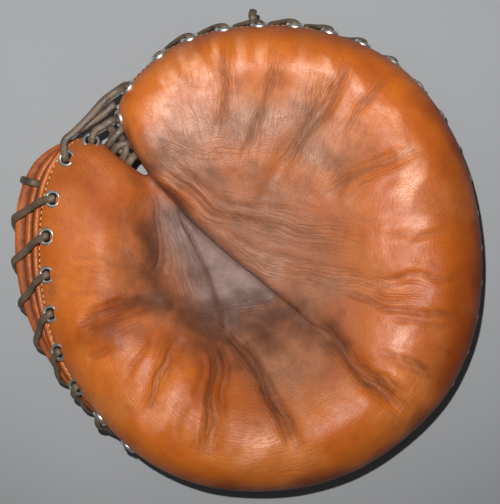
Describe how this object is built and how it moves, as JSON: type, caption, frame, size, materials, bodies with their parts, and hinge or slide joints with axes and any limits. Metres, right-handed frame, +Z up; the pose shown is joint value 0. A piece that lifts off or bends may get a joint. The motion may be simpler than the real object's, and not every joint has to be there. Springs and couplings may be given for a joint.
{
  "type": "catcher mitt",
  "caption": "Round padded leather mitt, palm up, with a deep creased pocket, rolled rim, laced edge with eyelets, laced web, and a back cover hollow for the hand.",
  "frame": {"origin": "centre of the bounding box in plan, at the flat underside that the mitt lies on", "axes": "+Z up, out of the palm; +Y from the heel to the fingertips; +X to the little finger side, so the thumb lobe is at -X"},
  "size_m": [0.2971, 0.2935, 0.0892],
  "materials": {
    "palm_leather": "worn oiled cowhide, orange tan on the rim and brown in the pocket and folds",
    "welt_leather": "rolled welt, edges rubbed",
    "back_leather": "thinner cowhide, satin",
    "strap_leather": "flat strap leather, satin",
    "rawhide": "grey brown rawhide thong, dull",
    "nickel": "nickel-plated pressed metal, lightly worn"
  },
  "bodies": {
    "root": {"palm_pad": "palm_leather", "welt": "welt_leather", "back_cover": "back_leather", "wrist_strap": "strap_leather", "strap_stud": "nickel", "finger_lace": "rawhide", "thumb_lace": "rawhide", "web_lace_outer": "rawhide", "web_lace_inner": "rawhide", "web_lace_back": "rawhide", "web_lace_ladder": "rawhide", "eyelet_01": "nickel", "eyelet_02": "nickel", "eyelet_03": "nickel", "eyelet_04": "nickel", "eyelet_05": "nickel", "eyelet_06": "nickel", "eyelet_07": "nickel", "eyelet_08": "nickel", "eyelet_09": "nickel", "eyelet_10": "nickel", "eyelet_11": "nickel", "eyelet_12": "nickel", "eyelet_13": "nickel", "eyelet_14": "nickel", "eyelet_15": "nickel", "eyelet_16": "nickel", "eyelet_17": "nickel", "eyelet_18": "nickel", "eyelet_19": "nickel", "eyelet_20": "nickel", "eyelet_21": "nickel", "eyelet_22": "nickel", "eyelet_23": "nickel", "eyelet_24": "nickel", "eyelet_25": "nickel", "eyelet_26": "nickel", "eyelet_27": "nickel", "eyelet_28": "nickel", "eyelet_29": "nickel", "eyelet_30": "nickel"}
  },
  "joints": []
}
